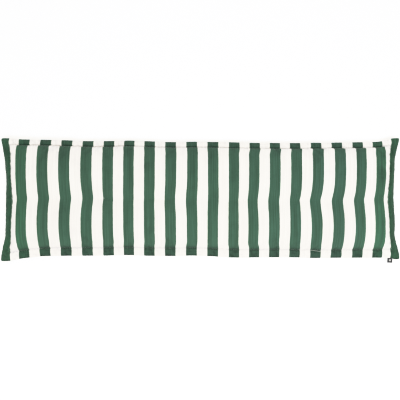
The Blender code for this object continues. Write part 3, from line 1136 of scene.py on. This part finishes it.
def make_seam_stitches(settings):
    """The row of lockstitches that closes the body off from the border."""
    holes = resampled(np.column_stack(plan_of(*seam_path().T)), settings.stitch_pitch)
    gap = 1 - settings.stitch_length / settings.stitch_pitch
    stitches = []
    for hole, after in zip(holes, np.roll(holes, -1, axis=0)):
        stitches.append([hole + (after - hole) * share for share in (gap / 2, 0.28, 0.5, 0.72, 1 - gap / 2)])
    material = sewing_thread("seam_thread", settings.thread_colour)
    lifts = np.array((-0.8, 0.05, 0.25, 0.05, -0.8)) * settings.thread_thickness
    sew_both_sides("seam_stitches_", stitches, lifts, settings.thread_thickness, material)


def make_loose_thread(settings):
    """An end of thread, sewn over twice, that lies loose across one stripe of the near border."""
    thickness = LOOSE_THICKER * settings.thread_thickness
    share = np.linspace(0.0, 1.0, 13)
    places = np.array(LOOSE_START) + share[:, None] * LOOSE_RUN
    places[:, 1] += 0.0006 * np.sin(5 * share)
    path = thread_over(cover_surface(), places, np.full(13, 0.35 * thickness), 1)
    material = sewing_thread("loose_thread", settings.loose_thread_colour)
    make_strands("loose_thread", [path], 1, thickness, material)


def make_tuft_stitches(settings):
    """The short bars of thread that hold the tufts."""
    across = np.linspace(-TUFT_BAR_HALF, TUFT_BAR_HALF, 5)
    stitches = []
    for place in TUFT_PLACES:
        for bar in (-1, 0, 1):
            stitches.append(list(zip(*plan_of(np.full(5, place + bar * TUFT_BAR_APART), across))))
    material = sewing_thread("tuft_thread", settings.tuft_thread_colour)
    lifts = np.array((-1.0, 0.1, 0.3, 0.1, -1.0)) * settings.thread_thickness
    sew_both_sides("tuft_stitches_", stitches, lifts, TUFT_THICKER * settings.thread_thickness, material)


def make_side_tab(settings):
    """A strip of tape, folded in two, with both its ends caught between the lips of the turned edge."""
    thickness = settings.tape_thickness
    gap = thickness * 0.62
    length = TAB_SHOWN + TAB_ROOT
    columns = 13
    layer = np.linspace(0.0, length, 13)
    turn = math.pi * (0.5 - np.arange(1, 8) / 8)
    path = np.concatenate([
        np.column_stack([layer, np.full(13, gap)]),
        np.column_stack([length + gap * np.cos(turn), gap * np.sin(turn)]),
        np.column_stack([layer[::-1], np.full(13, -gap)]),
    ])
    travelled = np.insert(np.cumsum(np.linalg.norm(np.diff(path, axis=0), axis=1)), 0, 0.0)
    aside = np.tile(TAB_WIDTH * np.linspace(-0.5, 0.5, columns), len(path))
    out, up = np.repeat(path, columns, axis=0).T
    share = out / length
    sag = TAB_TWIST * share * np.sin(4 * aside / TAB_WIDTH + 0.7) - TAB_SAG * share**2
    faces = grid_quads(np.arange(len(aside)).reshape(-1, columns))[:, [0, 3, 2, 1]]
    mesh = bpy.data.meshes.new("side_tab")
    mesh.from_pydata(np.column_stack([aside, -out, up + sag]).tolist(), [], faces.tolist())
    lay_flat(mesh, np.column_stack([aside, np.repeat(travelled, columns) - TAB_ROOT]))
    mesh.shade_smooth()
    mesh.materials.append(woven_tab(settings))

    tab = add_object("side_tab", mesh)
    thicken = tab.modifiers.new("tape", "SOLIDIFY")
    thicken.thickness = thickness
    thicken.offset = 0.0
    thicken.use_even_offset = True
    rounding = tab.modifiers.new("edges", "BEVEL")
    rounding.width = thickness * 0.3
    rounding.segments = 2
    rounding.limit_method = "ANGLE"
    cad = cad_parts["side_label"]
    level = sum((cad.matrix_world @ vertex.co).z for vertex in cad.data.vertices) / len(cad.data.vertices)
    middle = (TAB_LOW.x + TAB_HIGH.x) / 2
    _x, edge = plan_of(np.array([middle - 0.01, middle]), np.full(2, -HALF_WIDTH))
    turned = Matrix.Rotation(math.atan((edge[1] - edge[0]) / 0.01), 4, "Z")
    tab.matrix_world = Matrix.Translation((middle, edge[1] + TAB_ROOT, level)) @ turned
    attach(tab, "root")
    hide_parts("side_label")


# ---- The stage ----


def aim(lamp, place, target):
    lamp.location = place
    lamp.rotation_euler = (Vector(target) - lamp.location).to_track_quat("-Z", "Y").to_euler()


def add_soft_light(name, size, power, colour):
    lamp = bpy.data.lights.new(name, "AREA")
    lamp.shape = "RECTANGLE"
    lamp.size, lamp.size_y = size
    lamp.energy = power
    lamp.color = colour
    return add_object(name, lamp)


def develop_like_a_camera(view):
    """Plain colours, with a tone curve that keeps detail in the brightest cloth."""
    view.view_transform = "Standard"
    view.look = "None"
    view.use_curve_mapping = True
    mapping = view.curve_mapping
    mapping.white_level = (BRIGHTEST, BRIGHTEST, BRIGHTEST)
    low, high = WARM_LEVELS
    for curve, warmth in zip(mapping.curves, WARMTH):
        for light, shown in TONE_CURVE:
            curve.points.new(light / BRIGHTEST, shown - (warmth if low < light < high else 0.0))
    mapping.update()


def make_stage(settings):
    scene = bpy.context.scene
    shape = bmesh.new()
    bmesh.ops.create_grid(shape, x_segments=8, y_segments=8, size=6.0)
    mesh = bpy.data.meshes.new("floor")
    shape.to_mesh(mesh)
    shape.free()
    mesh.materials.append(floor_paint(settings))
    floor = add_object("floor", mesh)
    floor.location.z = -0.0003

    world = bpy.data.worlds.new("studio")
    world.use_nodes = True
    sky = world.node_tree.nodes["Background"].inputs
    sky["Color"].default_value = (1.0, 1.0, 1.0, 1.0)
    sky["Strength"].default_value = settings.sky_strength
    scene.world = world
    key = add_soft_light("key_light", (2.4, 0.7), settings.key_power, (1.0, 0.99, 0.97))
    aim(key, (0.16, -0.55, 1.35), (0.05, -0.10, 0.0))
    fill = add_soft_light("fill_light", (2.4, 1.6), settings.fill_power, (0.98, 0.99, 1.0))
    aim(fill, (-0.6, 2.0, 2.6), (0.0, 0.0, 0.0))

    lens = bpy.data.cameras.new("camera")
    lens.sensor_width = SENSOR_WIDTH
    lens.lens = SENSOR_WIDTH * settings.camera_height / SHOWN_WIDTH
    scene.camera = add_object("camera", lens)
    scene.camera.location = (0.0, CAMERA_ACROSS, BORDER_LEVEL + settings.camera_height)
    develop_like_a_camera(scene.view_settings)


# ---- The add-on ----


class CUSHION_OT_make_cover(bpy.types.Operator):
    """Makes the filled, striped cover"""

    bl_idname = "cushion.make_cover"
    bl_label = "Make cover"
    bl_options = {"REGISTER", "UNDO"}

    def execute(self, context):
        make_cover(context.scene.bench_cushion.cover)
        return {"FINISHED"}


class CUSHION_OT_sew_seam(bpy.types.Operator):
    """Sews the row of stitches round the border, on top and underneath"""

    bl_idname = "cushion.sew_seam"
    bl_label = "Sew border seam"
    bl_options = {"REGISTER", "UNDO"}

    def execute(self, context):
        make_seam_stitches(context.scene.bench_cushion.sewing)
        make_loose_thread(context.scene.bench_cushion.sewing)
        return {"FINISHED"}


class CUSHION_OT_sew_tufts(bpy.types.Operator):
    """Sews the thread bars of the tufts, on top and underneath"""

    bl_idname = "cushion.sew_tufts"
    bl_label = "Sew tufts"
    bl_options = {"REGISTER", "UNDO"}

    def execute(self, context):
        make_tuft_stitches(context.scene.bench_cushion.sewing)
        return {"FINISHED"}


class CUSHION_OT_make_tab(bpy.types.Operator):
    """Makes the folded tape tab in the near edge"""

    bl_idname = "cushion.make_tab"
    bl_label = "Make side tab"
    bl_options = {"REGISTER", "UNDO"}

    def execute(self, context):
        make_side_tab(context.scene.bench_cushion.tab)
        return {"FINISHED"}


class CUSHION_OT_make_stage(bpy.types.Operator):
    """Makes the floor, the lights and the camera"""

    bl_idname = "cushion.make_stage"
    bl_label = "Make stage"
    bl_options = {"REGISTER", "UNDO"}

    def execute(self, context):
        make_stage(context.scene.bench_cushion.stage)
        return {"FINISHED"}


OPERATORS = (
    CUSHION_OT_make_cover,
    CUSHION_OT_sew_seam,
    CUSHION_OT_sew_tufts,
    CUSHION_OT_make_tab,
    CUSHION_OT_make_stage,
)


class VIEW3D_PT_bench_cushion(bpy.types.Panel):
    """Lists the cushion's operators and settings in the sidebar"""

    bl_label = "Bench cushion"
    bl_space_type = "VIEW_3D"
    bl_region_type = "UI"
    bl_category = "Cushion"

    def draw(self, context):
        for operator in OPERATORS:
            self.layout.operator(operator.bl_idname)
        settings = context.scene.bench_cushion
        for group in (settings.cover, settings.sewing, settings.tab, settings.stage):
            box = self.layout.box()
            for name in group.__annotations__:
                box.prop(group, name)


CLASSES = (
    CoverSettings,
    SewingSettings,
    TabSettings,
    StageSettings,
    CushionSettings,
    *OPERATORS,
    VIEW3D_PT_bench_cushion,
)


def register():
    for item in CLASSES:
        bpy.utils.register_class(item)
    bpy.types.Scene.bench_cushion = PointerProperty(type=CushionSettings)


def unregister():
    del bpy.types.Scene.bench_cushion
    for item in reversed(CLASSES):
        bpy.utils.unregister_class(item)


def main():
    register()
    bpy.ops.cushion.make_cover()
    bpy.ops.cushion.sew_seam()
    bpy.ops.cushion.sew_tufts()
    bpy.ops.cushion.make_tab()
    bpy.ops.cushion.make_stage()


if __name__ == "__main__":
    main()
